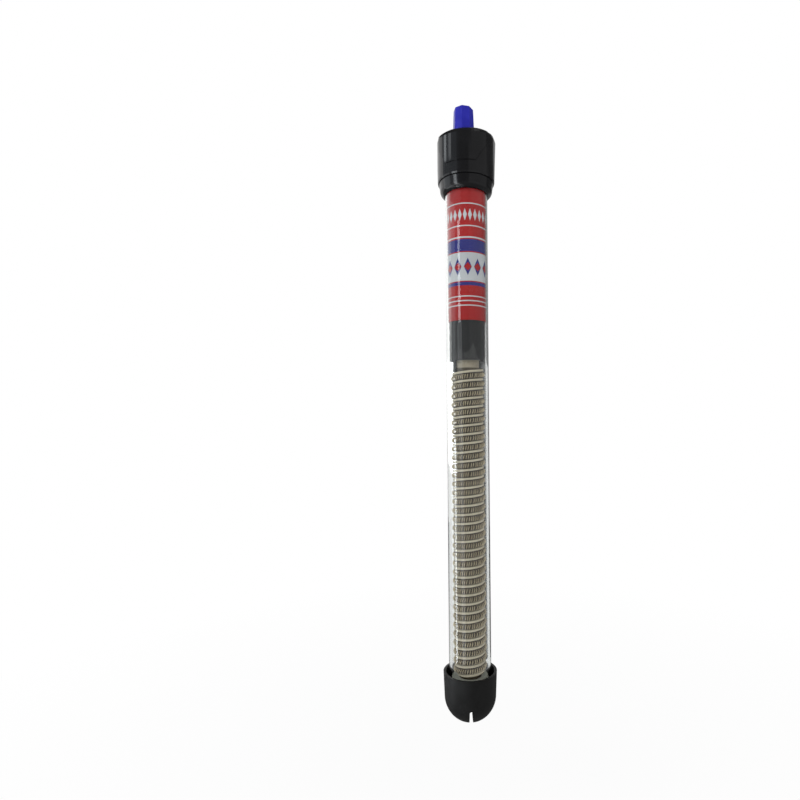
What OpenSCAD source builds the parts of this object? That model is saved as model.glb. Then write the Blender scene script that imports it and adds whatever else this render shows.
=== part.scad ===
// Submersible aquarium heater: glass tube, wound ceramic core, bimetal thermostat, head with knob, foot cap.
// Z runs along the heater, with its origin under the middle of the foot cap. The front is -Y.

/* [Glass tube] */
// Outer diameter of the glass tube
tube_d = 23; // [22:0.1:26]
// Wall of the glass tube
tube_wall = 1.3; // [1:0.1:1.6]
// Length of the glass tube
tube_len = 296; // [200:1:400]
// Radius of the rounded edge at the tube's closed end
tube_edge_r = 8; // [5:0.5:9]

/* [Foot cap] */
// Height of the foot cap
foot_h = 27; // [24:0.1:32]
// Diameter of the foot cap's rim
foot_rim_d = 29.2; // [28.4:0.1:34]
// Diameter of the foot cap's round end
foot_dome_d = 28.2; // [27.6:0.1:34]
// Wall of the foot cap
foot_wall = 1.4; // [1:0.1:2]
// Height at which the cap's ribs carry the tube
foot_seat_h = 7; // [6.5:0.1:9]
// Width of the water slot across the foot cap
foot_slot_w = 2.2; // [1.5:0.1:4]
// Height of the water slot
foot_slot_h = 11; // [8:0.5:13]
// Thickness of a rib inside the foot cap
foot_rib_t = 1.4; // [1:0.1:2.5]
// Height of the ribs' upper ends
foot_rib_h = 22; // [18:0.5:23]
// How far the cap is turned on the tube
foot_turn = 15; // [0:1:45]

/* [Core and coil] */
// Diameter of the ceramic core
core_d = 12.2; // [11:0.1:13.4]
// Height of the core's lower end over the floor of the tube
core_rise = 12.7; // [10:0.1:16]
// Length of the tube between the core's upper end and the plug, for the thermostat
core_to_plug = 82; // [70:1:120]
// Length of the core's plain neck, over the ridge
neck_len = 14; // [12:0.5:25]
// Diameter over the screw-shaped ridge
ridge_d = 17; // [15:0.1:19]
// Thickness of the ridge at its crest
ridge_t = 1.1; // [0.9:0.1:2]
// Gap between the heating spring and the crests beside it
coil_side_gap = 0.38; // [0.2:0.02:1]
// Height of the lowest crest over the pad, at the front
ridge_rise = 2.6; // [2.2:0.1:8]
// Diameter of the hole for the return wire
core_hole_d = 1.6; // [1.2:0.1:2.4]
// Outer diameter of the small heating spring
coil_d = 2.9; // [2:0.1:3.4]
// How deep the pad holds the core
cushion_grip = 3.6; // [2:0.1:8]

/* [Thermostat] */
// Wall of the insulating sleeve
sleeve_t = 0.6; // [0.4:0.05:0.7]
// How far the sleeve reaches down over the core's neck
sleeve_lap = 9.8; // [8:0.1:11]
// Height of the printed label
label_h = 70.3; // [40:0.1:78]
// Thickness of the frame plate
plate_t = 1; // [0.8:0.1:1.2]
// Width of the frame plate
plate_w = 12; // [9:0.5:13]
// Height of the blades' clamped middle over the core's upper end
stack_rise = 8; // [7:0.1:14]
// Distance from the clamped middle to the contacts
contact_arm = 33; // [28:0.5:33]
// Distance from the clamped middle to the setting blade's tip
setting_arm = 45; // [42:0.5:50]
// Width of the blades
blade_w = 6; // [4:0.1:6.4]
// Thickness of the bimetal blade
bimetal_t = 0.6; // [0.4:0.05:0.7]
// Thickness of the setting blade
setting_t = 0.4; // [0.3:0.05:0.5]
// Gap between the open contacts
contact_gap = 0.5; // [0.45:0.05:0.8]
// Radius of the contacts
contact_r = 1.6; // [1:0.1:2]
// Slope of the nut's ramp, sideways for each unit of height
ramp_slope = 0.45; // [0.3:0.05:0.5]

/* [Spindle and seals] */
// Distance of the spindle in front of the tube's axis
spindle_y = 5.5; // [5:0.1:6]
// Diameter of the spindle in its bush
spindle_d = 4.4; // [4:0.1:4.6]
// Diameter of the spindle's thread
thread_d = 3.4; // [3:0.1:3.6]
// Outer diameter of the spindle bush
bush_d = 6; // [5.6:0.1:6.2]
// Thickness of the spindle's O-rings
o_ring_t = 0.86; // [0.7:0.02:0.9]
// Length of the rubber plug inside the tube
plug_len = 16; // [14:0.5:19]
// Thickness of the plug's rim on the tube's mouth
plug_rim_t = 1.9; // [1.5:0.1:3]
// Thickness of the seal ring round the tube
seal_t = 1.64; // [1.2:0.02:1.8]

/* [Head] */
// Length of the tube that the head covers, above the seam between collar and head
head_grip = 10.8; // [9.6:0.1:13]
// Width of the head
head_w = 31.2; // [30.4:0.1:36]
// Height of the head on the tube's axis
head_h = 25.3; // [24:0.1:28]
// Slope of the head's top, which rises to the back
top_slope = 0.13; // [0.05:0.01:0.3]
// Height of the raised front panel over the head
panel_t = 0.4; // [0.2:0.05:0.8]
// Width of the front panel
panel_w = 26.6; // [22:0.2:28]
// Width of the front panel's lower edge
panel_foot_w = 16.4; // [10:0.2:20]
// Height of the panel's straight sides under the head's top
panel_side_h = 10; // [6:0.5:12]
// Height of the whole panel under the head's top
panel_h = 19; // [17:0.5:22]
// Height of the collar under the head
collar_h = 6.8; // [6:0.1:8]
// How far the collar stands back from the head's side
collar_inset = 0.85; // [0.5:0.05:1.5]
// Height of the seam between the collar and the head
seam_h = 0.6; // [0.4:0.1:1.5]
// Depth of that seam
seam_in = 0.35; // [0.2:0.05:1]
// Diameter of the mains lead that the gland takes
cord_d = 6.4; // [5:0.1:6.8]
// Wall of the cord gland
gland_wall = 1.2; // [0.8:0.1:1.4]
// Distance of the cord gland behind the tube's axis
gland_y = 7.5; // [7:0.1:8]

/* [Knob] */
// Height of the knob
knob_h = 13.7; // [11:0.1:18]
// Width of the knob's foot across its corners
knob_foot_d = 11.6; // [10:0.1:13]
// Width of the knob's top across its corners
knob_top_d = 10.8; // [9:0.1:12]
// Height of the knob's sloping upper band
knob_band_h = 2.9; // [1.5:0.1:4]
// Radius of the knob's rounded corners
knob_corner_r = 0.5; // [0.3:0.1:1.5]
// How far the spindle reaches up into the knob
knob_bore_h = 8; // [6:0.5:10]
// How far the knob is turned from its middle setting
knob_turn = 4; // [0:1:44]

/* [Leads] */
// Diameter of the insulated leads
lead_d = 1.8; // [1.2:0.1:1.9]
// Diameter of the bare return wire
wire_d = 0.8; // [0.5:0.1:1]

/* [Hidden] */
$fn = 64;

// Clearances
slip = 0.05; // running fit, on the radius
close = 0.1; // pieces of one body that are pushed together
free = 0.25; // pieces that move past each other
past = 1; // how far a cut runs past a face

// Tube
tube_r = tube_d / 2;
tube_ri = tube_r - tube_wall;
tube_floor_z = foot_seat_h + tube_wall;
tube_top_z = foot_seat_h + tube_len;

// Heights of the core and of what sits on it, between the tube's floor and the plug
plug_base_z = tube_top_z - plug_len;
plug_top_z = tube_top_z + plug_rim_t;
core_base_z = tube_floor_z + core_rise;
core_top_z = plug_base_z - core_to_plug;
cushion_top_z = core_base_z + cushion_grip;
sleeve_base_z = core_top_z - sleeve_lap;
stack_z = core_top_z + stack_rise;
head_base_z = tube_top_z - head_grip;

// Radial stack of films inside the tube
label_t = 0.15;
label_r = tube_ri - close;
label_gap_w = 2;
flap_t = 0.35;
flap_start = 161;
flap_sweep = 66;
sleeve_r = label_r - label_t - free - flap_t;
sleeve_ri = sleeve_r - sleeve_t;

// Ridge and coil share the steps of their helix, so that their flats face each other
turn_steps = 16;
core_r = core_d / 2;
ridge_r = ridge_d / 2;
ridge_pitch = ridge_t + coil_d + 2 * coil_side_gap;
ridge_base_z = cushion_top_z + ridge_rise;
front_step = 12; // the step that points to the front
ridge_first = 8;
coil_first = 18;
// whole turns of the ridge, as many as end below the neck, and the run-out behind the core
ridge_turns = floor((core_top_z - neck_len - ridge_z(coil_first)) / ridge_pitch);
ridge_steps = turn_steps * ridge_turns + coil_first - ridge_first + 3;
ridge_flank = 0.15; // how much wider the ridge is at its root, on each side
runout_steps = 5;
coil_steps = ridge_first + ridge_steps + 1 - coil_first; // it ends just past the ridge
coil_sides = 6;
coil_seat = 0.2;
coil_path_r = core_r + coil_seat + coil_d / 2;
coil_end = coil_first + coil_steps;

// Films, bush and bridge under the plug
film_top_z = plug_base_z - 0.3;
label_base_z = film_top_z - label_h;
bridge_t = 1.5;
bridge_z = plug_base_z - 0.2 - bridge_t;
bush_flange_t = 1.2;
bush_base_z = bridge_z - 0.6;
clip_t = 0.8;
clip_z = bush_base_z - free - clip_t;
spindle_r = spindle_d / 2;
bush_ri = spindle_r + slip;
bush_r = bush_d / 2;

// Clamped stack of the thermostat, from the back to the front
spindle_to_plate = 8;
bimetal_to_plate = 2.55;
plate_y = spindle_to_plate - spindle_y;
stack_h = 9;
stack_w = 8;
contact_t = 0.95;
bimetal_y = plate_y - bimetal_to_plate;
setting_y = bimetal_y - 2 * contact_t - contact_gap;
terminal_t = 0.4;
front_insulator_t = 1;
boss_r = 1.25;
rivet_r = 0.9;
rivet_pitch = 5;
rivet_head_r = 1.6;
rivet_head_t = 0.7;
contact_z = stack_z + contact_arm;
setting_tip_z = stack_z + setting_arm;
magnet_rise = 3.5;
magnet_h = 3;
magnet_w = 4;
magnet_z = contact_z + magnet_rise;
bimetal_tip_z = magnet_z + magnet_h + 1;
shank_r = 0.8;

// Setting nut and its guides
nut_gap = 0.15;
nut_w = 7.2;
nut_under = 1;
nut_h = 10;
ramp_h = 5;
cheek_t = 0.8;
cheek_z = setting_tip_z - 4;
thread_end_z = setting_tip_z - 3;

// Frame ring round the core's neck
ring_t = 0.8;
ring_z = core_top_z - 6;
ring_h = 9;
ring_lap = 1.5; // how far the frame plate reaches down over the ring
ring_r = core_r + 0.15;

// Places of the leads
ferrule_wall = 0.3;
live_at = [sleeve_ri - lead_d / 2 - ferrule_wall - 0.65, 1];
neutral_at = [-3.2, plate_y + plate_t + lead_d / 2 + 0.4];
// the coil's lead bends round the core from the coil's end, and then stands beside it
coil_lead_steps = 3;
coil_lead_r = core_r + lead_d / 2 + 0.24;
coil_lead_turn = 360 * (coil_end + coil_lead_steps) / turn_steps + 10;
coil_terminal_at = coil_lead_r * [cos(coil_lead_turn), sin(coil_lead_turn)];
ferrule_h = 6;

// Head
head_r = head_w / 2;
head_top_z = head_base_z + head_h;
ceiling_z = plug_top_z + 0.2;
head_foot_h = 7; // height of the head's round lower part
cavity_h = 5;
cavity_r = 10.5;
cavity_front_y = -1.5;
seal_bore_r = tube_r + seal_t + 0.1;
spigot_h = 3.5;
knob_well_r = knob_foot_d / 2 + 0.7;
knob_well_z = head_top_z - top_slope * (spindle_y + knob_foot_d / 2) - 0.2;
knob_z = knob_well_z + 0.3;
spindle_top_r = spindle_r - 0.3;
spindle_top_z = knob_z + knob_bore_h;
knob_flat = 0.5;
knob_edge = 0.25; // how much the edge of the knob's top is broken
gland_ri = cord_d / 2;
gland_r = gland_ri + gland_wall;
gland_flange_r = gland_r + 1;
gland_flange_t = 1.2;
gland_seat_z = head_top_z;
gland_base_z = ceiling_z + cavity_h;

// ---------- shared shapes ----------

// A round rod from a to b
module rod(a, b, r) {
    v = b - a;
    translate(a)
        rotate([0, acos(v.z / norm(v)), atan2(v.y, v.x)])
            cylinder(r = r, h = norm(v));
}

// A bent wire along a path
module wire(path, r) {
    for (i = [0 : len(path) - 2])
        rod(path[i], path[i + 1], r);
    for (i = [1 : len(path) - 2])
        translate(path[i]) sphere(r = r + 0.01);
}

// A ring or sleeve from z0 to z1
module ring(r, ri, z0, z1) {
    translate([0, 0, z0])
        difference() {
            cylinder(r = r, h = z1 - z0);
            translate([0, 0, -past]) cylinder(r = ri, h = z1 - z0 + 2 * past);
        }
}

// A plate between two corners
module plate(low, high) {
    translate(low) cube(high - low);
}

// A solid of revolution like a test tube: radius r, rounded at its closed end
module round_bottom(r, base, top, edge) {
    rotate_extrude()
        intersection() {
            union() {
                translate([r - edge, base + edge]) circle(r = edge);
                translate([0, base + edge]) square([r, top - base - edge]);
                translate([0, base]) square([r - edge, 2 * edge]);
            }
            translate([0, base]) square([r, top - base]);
        }
}

// A round O-ring about Z
module o_ring(r_middle, thickness, z) {
    translate([0, 0, z])
        rotate_extrude()
            translate([r_middle, 0]) circle(d = thickness, $fn = 32);
}

// ---------- foot cap ----------

// The cap's outer form, or its hollow when it is drawn in by the wall
module foot_form(inset, over) {
    dome_r = foot_dome_d / 2;
    rotate_extrude() {
        intersection() {
            translate([0, dome_r]) circle(r = dome_r - inset, $fn = 96);
            square([dome_r, dome_r]);
        }
        polygon([
            [0, dome_r],
            [dome_r - inset, dome_r],
            [foot_rim_d / 2 - inset, foot_h],
            [foot_rim_d / 2 - inset, foot_h + over],
            [0, foot_h + over]
        ]);
    }
}

module foot_ribs() {
    for (a = [45 : 90 : 315])
        rotate([0, 0, a])
            plate([5, -foot_rib_t / 2, 0], [foot_rim_d / 2, foot_rib_t / 2, foot_rib_h]);
}

module foot_slot() {
    slot_r = foot_slot_w / 2;
    reach = foot_rim_d / 2 + past;
    plate([-slot_r, -reach, -past], [slot_r, reach, foot_slot_h - slot_r]);
    translate([0, reach, foot_slot_h - slot_r])
        rotate([90, 0, 0])
            cylinder(r = slot_r, h = 2 * reach);
}

module foot_cap() {
    color([0.12, 0.12, 0.12])
        rotate([0, 0, foot_turn])
            difference() {
                union() {
                    difference() {
                        foot_form(0, 0);
                        foot_form(foot_wall, past);
                    }
                    intersection() {
                        foot_form(foot_wall / 2, 0);
                        foot_ribs();
                    }
                }
                round_bottom(tube_r + free, foot_seat_h - close, foot_h + past, tube_edge_r);
                foot_slot();
            }
}

// ---------- tube, pad and films ----------

module glass_tube() {
    color([0.85, 0.93, 0.95, 0.35])
        difference() {
            round_bottom(tube_r, foot_seat_h, tube_top_z, tube_edge_r);
            round_bottom(
                tube_ri, tube_floor_z, tube_top_z + past, tube_edge_r - tube_wall
            );
        }
}

module base_cushion() {
    color([0.55, 0.56, 0.52])
        difference() {
            round_bottom(
                tube_ri - free, tube_floor_z + close,
                cushion_top_z, tube_edge_r - tube_wall
            );
            translate([0, 0, core_base_z - close])
                cylinder(r = core_r + close, h = cushion_top_z);
            wire(return_path(), wire_d / 2 + close);
        }
}

module label_film() {
    color([0.62, 0.14, 0.16])
        difference() {
            ring(label_r, label_r - label_t, label_base_z, film_top_z);
            plate(
                [-label_gap_w / 2, 0, label_base_z - past],
                [label_gap_w / 2, tube_r, film_top_z + past]
            );
        }
}

// The rolled sleeve, with the flap of its overlapping edge outside
module thermostat_sleeve() {
    flap_r = sleeve_r + flap_t;
    far = 2 * flap_r;
    middle = flap_start + flap_sweep / 2;
    color([0.22, 0.22, 0.24])
        translate([0, 0, sleeve_base_z])
            linear_extrude(film_top_z - sleeve_base_z)
                difference() {
                    union() {
                        circle(r = sleeve_r);
                        intersection() {
                            circle(r = flap_r);
                            polygon([
                                [0, 0],
                                [far * cos(flap_start), far * sin(flap_start)],
                                [far * cos(middle), far * sin(middle)],
                                [far * cos(flap_start + flap_sweep), far * sin(flap_start + flap_sweep)]
                            ]);
                        }
                    }
                    circle(r = sleeve_ri);
                }
}

// ---------- ceramic core with its screw-shaped ridge ----------

// Height of the ridge's middle, and of the groove under it, at a step of the helix
function ridge_z(i) = ridge_base_z + ridge_pitch * (i - front_step) / turn_steps;
function coil_z(i) = ridge_z(i) - ridge_pitch / 2;
function around(r, i, z) = [r * cos(360 * i / turn_steps), r * sin(360 * i / turn_steps), z];

// The crest's radius at step k, which runs out at both ends of the ridge
function crest_r(k) =
    let (in_full = min(1, k / runout_steps, (ridge_steps - k) / runout_steps))
    core_r + 0.2 + (ridge_r - core_r - 0.2) * sin(90 * in_full);

// The four points of the ridge's section at step k, from the lower root to the upper root
function ridge_section(k) =
    let (i = ridge_first + k, z = ridge_z(i), h = ridge_t / 2)
    [
        around(core_r, i, z - h - ridge_flank),
        around(crest_r(k), i, z - h),
        around(crest_r(k), i, z + h),
        around(core_r, i, z + h + ridge_flank)
    ];

module ceramic_core() {
    n = turn_steps;
    last = ridge_steps;
    ridge = [for (k = [0 : last]) each ridge_section(k)];
    count = len(ridge);
    hole_r = core_hole_d / 2;
    // a point of the ridge: step k, section corner c from 0 to 3
    function at(k, c) = 4 * k + c;
    function low(j) = count + (j % n + n) % n;
    function high(j) = count + n + (j % n + n) % n;
    function low_in(j) = count + 2 * n + (j % n + n) % n;
    function high_in(j) = count + 3 * n + (j % n + n) % n;
    circles = [
        for (r = [core_r, hole_r], z = [core_base_z, core_top_z])
            for (j = [0 : n - 1]) around(r, j, z)
    ];
    first = ridge_first;
    end = ridge_first + last;
    sides = [
        for (k = [0 : last - 1], c = [0 : 2])
            each [[at(k, c), at(k, c + 1), at(k + 1, c + 1)], [at(k, c), at(k + 1, c + 1), at(k + 1, c)]]
    ];
    grooves = [
        for (k = [0 : last - n - 1])
            each [
                [at(k, 3), at(k + n, 0), at(k + n + 1, 0)],
                [at(k, 3), at(k + n + 1, 0), at(k + 1, 3)]
            ]
    ];
    // the plain root under the first turn and over the last turn
    under = [
        for (k = [0 : n - 2])
            each [
                [low(first + k), at(k, 0), at(k + 1, 0)],
                [low(first + k), at(k + 1, 0), low(first + k + 1)]
            ]
    ];
    over = [
        for (k = [last - n + 1 : last - 1])
            each [
                [at(k, 3), high(first + k), high(first + k + 1)],
                [at(k, 3), high(first + k + 1), at(k + 1, 3)]
            ]
    ];
    // the facets that close the root beside the ridge's two blunt ends
    start_fan = [
        [at(n - 1, 0), at(n, 0), at(0, 3)],
        [at(n - 1, 0), at(0, 3), at(0, 0)],
        [at(n - 1, 0), at(0, 0), low(first)],
        [at(n - 1, 0), low(first), low(first - 1)]
    ];
    end_fan = [
        [at(last - n + 1, 3), at(last - n, 3), at(last, 0)],
        [at(last - n + 1, 3), at(last, 0), at(last, 3)],
        [at(last - n + 1, 3), at(last, 3), high(end)],
        [at(last - n + 1, 3), high(end), high(end + 1)]
    ];
    // the blunt ends themselves
    start_cap = [
        [at(0, 0), at(0, 3), at(0, 1)], [at(0, 1), at(0, 3), at(0, 2)]
    ];
    end_cap = [
        [at(last, 0), at(last, 1), at(last, 3)], [at(last, 1), at(last, 2), at(last, 3)]
    ];
    ends = [
        for (j = [0 : n - 1])
            each [
                [low(j), low(j + 1), low_in(j + 1)], [low(j), low_in(j + 1), low_in(j)],
                [high(j), high_in(j + 1), high(j + 1)], [high(j), high_in(j), high_in(j + 1)],
                [low_in(j), low_in(j + 1), high_in(j + 1)], [low_in(j), high_in(j + 1), high_in(j)]
            ]
    ];
    color([0.78, 0.74, 0.65])
        polyhedron(
            points = concat(ridge, circles),
            faces = concat(sides, grooves, under, over, start_fan, end_fan, start_cap, end_cap, ends),
            convexity = 10
        );
}

// ---------- heating coil ----------

// The coil's path is one helix in the groove between the ridge's turns
coil_path = [for (k = [0 : coil_steps]) around(coil_path_r, coil_first + k, coil_z(coil_first + k))];

// The coil's section at one point: a hexagon in the plane through the axis
function coil_ring(k) =
    let (a = 360 * (coil_first + k) / turn_steps, z = coil_z(coil_first + k))
    [
        for (s = [0 : coil_sides - 1])
            let (b = 360 * s / coil_sides, r = coil_path_r + coil_d / 2 * cos(b))
            [r * cos(a), r * sin(a), z + coil_d / 2 * sin(b)]
    ];

module heating_coil() {
    m = coil_sides;
    points = [for (k = [0 : coil_steps]) each coil_ring(k)];
    sides = [
        for (k = [0 : coil_steps - 1], s = [0 : m - 1])
            let (a = k * m + s, b = k * m + (s + 1) % m)
            each [[a, b, b + m], [a, b + m, a + m]]
    ];
    first = [for (s = [1 : m - 2]) [0, s + 1, s]];
    last = [for (s = [1 : m - 2]) [coil_steps * m, coil_steps * m + s, coil_steps * m + s + 1]];
    color([0.45, 0.42, 0.36])
        polyhedron(points = points, faces = concat(sides, first, last), convexity = 10);
}

// The least gap between one turn of the coil and the next
coil_gap = min([
    for (i = [0 : coil_steps - turn_steps])
        norm(coil_path[i + turn_steps] - coil_path[i]) - coil_d
]);
echo(coil_gap_to_itself = coil_gap);

// The washer that closes the sleeve round the core's neck
module core_washer() {
    color([0.86, 0.84, 0.78])
        difference() {
            ring(sleeve_ri - close, core_r + close, sleeve_base_z + 0.8, sleeve_base_z + 2);
            translate([coil_terminal_at.x, coil_terminal_at.y, sleeve_base_z])
                cylinder(r = lead_d / 2 + close, h = 4);
        }
}

// ---------- thermostat ----------

module thermostat_frame() {
    half = plate_w / 2;
    guide_x = nut_w / 2 + slip;
    ring_out = ring_r + ring_t + past;
    lead_room = lead_d / 2 + 1.2;
    color([0.75, 0.76, 0.78]) {
        difference() {
            union() {
                plate(
                    [-half, plate_y, ring_z + ring_h - ring_lap],
                    [half, plate_y + plate_t, bridge_z + slip]
                );
                translate([0, 0, bridge_z])
                    cylinder(r = sleeve_ri - 0.15, h = bridge_t);
                for (side = [0, 1])
                    mirror([side, 0, 0])
                        plate([guide_x, -6.5, cheek_z], [guide_x + cheek_t, plate_y + slip, bridge_z + slip]);
                difference() {
                    ring(ring_r + ring_t, ring_r, ring_z, ring_z + ring_h);
                    plate(
                        [-ring_out, coil_terminal_at.y - lead_room, ring_z - past],
                        [coil_terminal_at.x + lead_room, plate_y - 0.3, ring_z + ring_h + past]
                    );
                }
            }
            // the bridge grips the bush like a fork, open to the front
            translate([0, -spindle_y, bridge_z - past])
                cylinder(r = bush_r + slip, h = bridge_t + 2 * past);
            plate(
                [-bush_r - slip, -sleeve_r, bridge_z - past],
                [bush_r + slip, -spindle_y, bridge_z + bridge_t + past]
            );
            for (at = [live_at, neutral_at])
                translate([at.x, at.y, bridge_z - past])
                    cylinder(r = lead_d / 2 + close, h = bridge_t + 2 * past);
            rivet_holes(plate_y - past, plate_y + plate_t + past, rivet_r + slip);
        }
    }
}

// Round cuts or rods along Y at both rivets
module rivet_holes(y0, y1, r) {
    for (side = [-1, 1])
        translate([0, y1, stack_z + side * rivet_pitch / 2])
            rotate([90, 0, 0])
                cylinder(r = r, h = y1 - y0);
}

module stack_block(y0, y1) {
    plate([-stack_w / 2, y0, stack_z - stack_h / 2], [stack_w / 2, y1, stack_z + stack_h / 2]);
}

// The y of the gaps in the stack, which leave each blade room to turn
bimetal_back_y = bimetal_y + bimetal_t + free;
setting_front_y = setting_y - setting_t - free;
front_insulator_y = setting_front_y - terminal_t;

module stack_insulators() {
    color([0.55, 0.36, 0.22])
        difference() {
            union() {
                stack_block(bimetal_back_y + terminal_t, plate_y);
                stack_block(setting_y + free, bimetal_y - free);
                stack_block(front_insulator_y - front_insulator_t, front_insulator_y);
                rivet_holes(setting_front_y, bimetal_back_y, boss_r);
            }
            rivet_holes(-sleeve_r, sleeve_r, rivet_r + slip);
        }
}

module stack_rivets() {
    front = front_insulator_y - front_insulator_t;
    back = plate_y + plate_t;
    color([0.8, 0.68, 0.4]) {
        rivet_holes(front - slip, back + slip, rivet_r);
        rivet_holes(front - rivet_head_t, front, rivet_head_r);
        rivet_holes(back, back + rivet_head_t, rivet_head_r);
    }
}

// A flat terminal against a blade, with an arm to a crimped barrel
module terminal(y0, at, side) {
    difference() {
        union() {
            plate(
                [-stack_w / 2 + 0.5, y0, stack_z - 4],
                [stack_w / 2 - 0.5, y0 + terminal_t, stack_z + 4]
            );
            mirror([side < 0 ? 1 : 0, 0, 0])
                plate([2, y0, stack_z - 1], [abs(at.x) - 0.8, y0 + terminal_t, stack_z + 2]);
            translate([at.x, at.y, stack_z - 2])
                cylinder(r = lead_d / 2 + ferrule_wall, h = ferrule_h);
        }
        rivet_holes(y0 - past, y0 + terminal_t + past, boss_r + slip);
        translate([at.x, at.y, side > 0 ? stack_z : stack_z - 2 - past])
            cylinder(r = lead_d / 2 + slip, h = 2 + 2 * past + 2);
    }
}

module live_terminal() {
    color([0.8, 0.68, 0.4]) terminal(bimetal_back_y, live_at, 1);
}

module coil_terminal() {
    color([0.8, 0.68, 0.4]) terminal(setting_front_y - terminal_t, coil_terminal_at, -1);
}

// A leaf from its clamped root up to a tip, with holes for the stack's bosses and a contact
module leaf(y_front, thickness, tip_z) {
    difference() {
        plate(
            [-blade_w / 2, y_front, stack_z - stack_h / 2],
            [blade_w / 2, y_front + thickness, tip_z]
        );
        rivet_holes(y_front - past, y_front + thickness + past, boss_r + free);
        translate([0, y_front + thickness + past, contact_z])
            rotate([90, 0, 0])
                cylinder(r = shank_r + slip, h = thickness + 2 * past);
    }
}

// A contact rivet: its head stands out from the face at y by its thickness, towards side
module contact(y_face, blade_t, side) {
    translate([0, y_face, contact_z])
        rotate([side > 0 ? -90 : 90, 0, 0]) {
            cylinder(r = contact_r, h = contact_t);
            translate([0, 0, -blade_t - 0.3]) cylinder(r = 1, h = 0.3);
            translate([0, 0, -blade_t - slip]) cylinder(r = shank_r, h = blade_t + 2 * slip);
        }
}

module bimetal_blade() {
    color([0.72, 0.66, 0.52]) leaf(bimetal_y, bimetal_t, bimetal_tip_z);
}

module moving_contact() {
    color([0.85, 0.85, 0.86]) contact(bimetal_y, bimetal_t, -1);
}

module snap_armature() {
    color([0.5, 0.5, 0.52])
        plate([-magnet_w / 2, bimetal_y - 0.5, magnet_z], [magnet_w / 2, bimetal_y, magnet_z + magnet_h]);
}

module setting_blade() {
    color([0.83, 0.7, 0.42]) leaf(setting_y - setting_t, setting_t, setting_tip_z);
}

module fixed_contact() {
    color([0.85, 0.85, 0.86]) contact(setting_y, setting_t, 1);
}

module snap_magnet() {
    color([0.3, 0.3, 0.32])
        plate([-magnet_w / 2, setting_y, magnet_z], [magnet_w / 2, setting_y + 1, magnet_z + magnet_h]);
}

// The nut on the spindle's thread: it can't turn between the cheeks, and its ramp pushes the setting blade
module setting_nut() {
    tip_y = setting_y - setting_t - nut_gap;
    low_y = tip_y - ramp_slope * nut_under;
    high_y = low_y + ramp_slope * ramp_h;
    back_y = -(sleeve_ri - 0.5);
    color([0.9, 0.88, 0.8])
        translate([0, 0, setting_tip_z - nut_under])
            difference() {
                intersection() {
                    translate([-nut_w / 2, 0, 0])
                        rotate([90, 0, 90])
                            linear_extrude(nut_w)
                                polygon([
                                    [back_y, 0], [low_y, 0], [high_y, ramp_h],
                                    [high_y, nut_h], [back_y, nut_h]
                                ]);
                    cylinder(r = sleeve_ri - 0.35, h = nut_h);
                }
                translate([0, -spindle_y, -past])
                    cylinder(d = thread_d + 2 * slip, h = nut_h + 2 * past);
            }
}

// ---------- leads ----------

function return_path() =
    let (
        angle = 360 * coil_first / turn_steps,
        x = coil_path_r * cos(angle),
        y = coil_path_r * sin(angle),
        turn_z = core_base_z - 1.2,
        cross_z = core_top_z + wire_d / 2 + 0.2
    )
    [
        [x, y, coil_z(coil_first) - coil_d / 2 - slip],
        [x, y, turn_z],
        [0, 0, turn_z],
        [0, 0, cross_z],
        [neutral_at.x, 0, cross_z],
        [neutral_at.x, neutral_at.y, cross_z],
        [neutral_at.x, neutral_at.y, stack_z - 1]
    ];

module return_lead() {
    color([0.72, 0.45, 0.3]) wire(return_path(), wire_d / 2);
}

module straight_lead(at, z0) {
    translate([at.x, at.y, z0]) cylinder(d = lead_d, h = plug_top_z + 2 - z0);
}

module live_lead() {
    color([0.45, 0.24, 0.12]) straight_lead(live_at, stack_z + slip);
}

module neutral_lead() {
    color([0.15, 0.3, 0.65]) straight_lead(neutral_at, stack_z + 1);
}

// The coil's lead starts at the coil's end face, bends round the core over the last turn and then rises
module coil_lead() {
    bend_z = coil_z(coil_end + coil_lead_steps) - 0.3;
    start_turn = 360 * coil_end / turn_steps + 1;
    color([0.13, 0.13, 0.14]) {
        rotate([0, 0, start_turn])
            rotate_extrude(angle = coil_lead_turn - start_turn)
                translate([coil_lead_r, bend_z]) circle(d = lead_d);
        translate([coil_terminal_at.x, coil_terminal_at.y, bend_z]) {
            sphere(r = lead_d / 2 + 0.01);
            cylinder(d = lead_d, h = stack_z - bend_z);
        }
    }
}

// A closed crimp barrel round a lead's end
module ferrule(at, z0, z1, inner_r) {
    translate([at.x, at.y, 0]) ring(lead_d / 2 + ferrule_wall, inner_r, z0, z1);
}

module wire_ferrules() {
    color([0.78, 0.78, 0.8]) {
        ferrule(neutral_at, stack_z - 3, stack_z + 4, lead_d / 2 + slip);
        ferrule(live_at, plug_top_z + 0.5, plug_top_z + 4.5, lead_d / 2 + slip);
        ferrule(neutral_at, plug_top_z + 0.5, plug_top_z + 4.5, lead_d / 2 + slip);
    }
}

// ---------- plug, spindle and seals ----------

module rubber_plug() {
    color([0.2, 0.2, 0.2])
        difference() {
            union() {
                translate([0, 0, plug_base_z])
                    cylinder(r = tube_ri - slip, h = plug_len + slip);
                translate([0, 0, tube_top_z])
                    cylinder(r = tube_r - close, h = plug_rim_t);
            }
            translate([0, -spindle_y, plug_base_z - past])
                cylinder(r = bush_r + slip, h = plug_len + plug_rim_t + 2 * past);
            translate([0, -spindle_y, plug_top_z - bush_flange_t - slip])
                cylinder(r = bush_r + 1 + slip, h = bush_flange_t + past);
            for (at = [live_at, neutral_at])
                translate([at.x, at.y, plug_base_z - past])
                    cylinder(r = lead_d / 2 + slip, h = plug_len + plug_rim_t + 2 * past);
        }
}

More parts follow.
